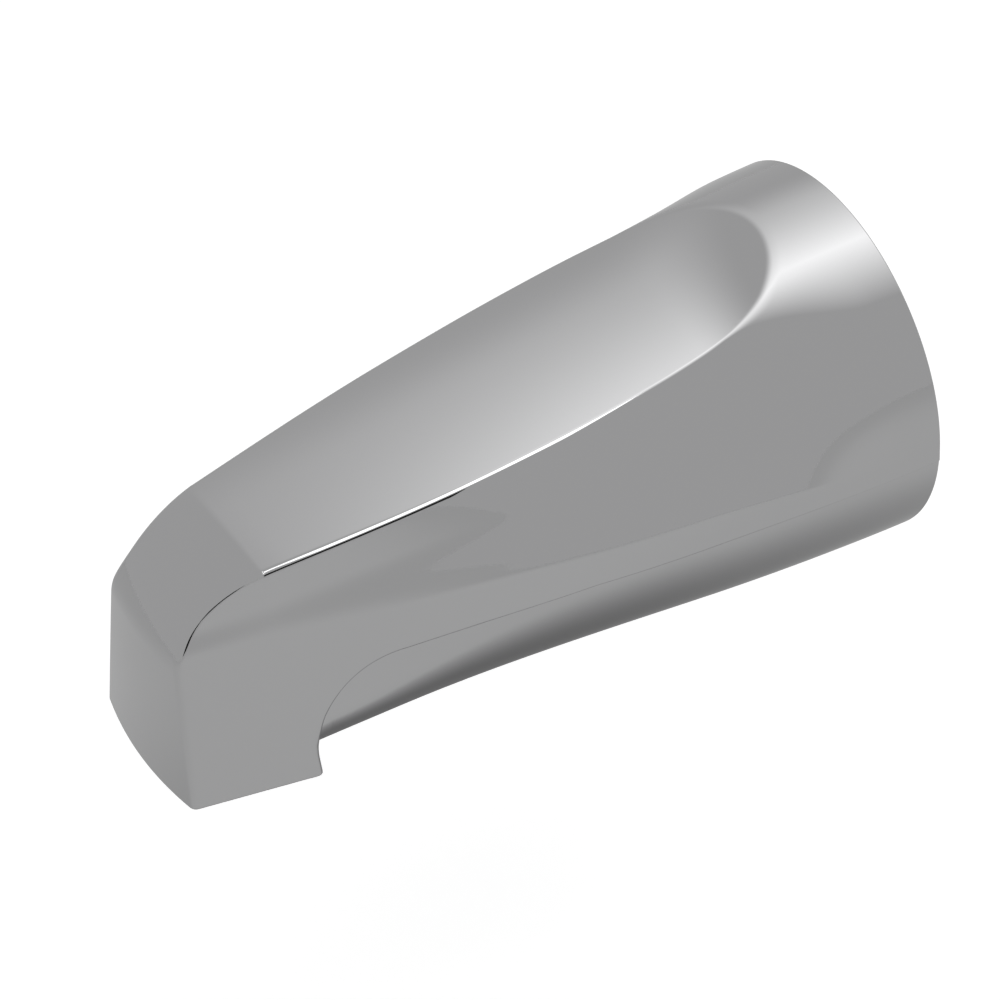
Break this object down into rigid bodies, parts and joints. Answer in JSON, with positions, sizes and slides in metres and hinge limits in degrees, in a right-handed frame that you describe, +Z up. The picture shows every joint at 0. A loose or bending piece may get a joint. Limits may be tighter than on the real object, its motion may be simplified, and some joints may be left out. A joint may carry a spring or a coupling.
{
  "type": "bath spout",
  "caption": "Chrome plated bath spout: round at the wall, tapering to a flat-sided nose with a crowned tongue on top and a water outlet facing down.",
  "frame": {"origin": "centre of the wall rim, on the wall plane and the pipe's centre line", "axes": "-Y is the way the spout reaches out from the wall, +Z is up, +X completes the frame; the part is symmetric about X = 0"},
  "size_m": [0.0636, 0.1282, 0.0631],
  "materials": {
    "chrome_plate": "polished",
    "brass": "machined"
  },
  "bodies": {
    "root": {"spout_body": "chrome_plate", "threaded_insert": "brass"}
  },
  "joints": []
}
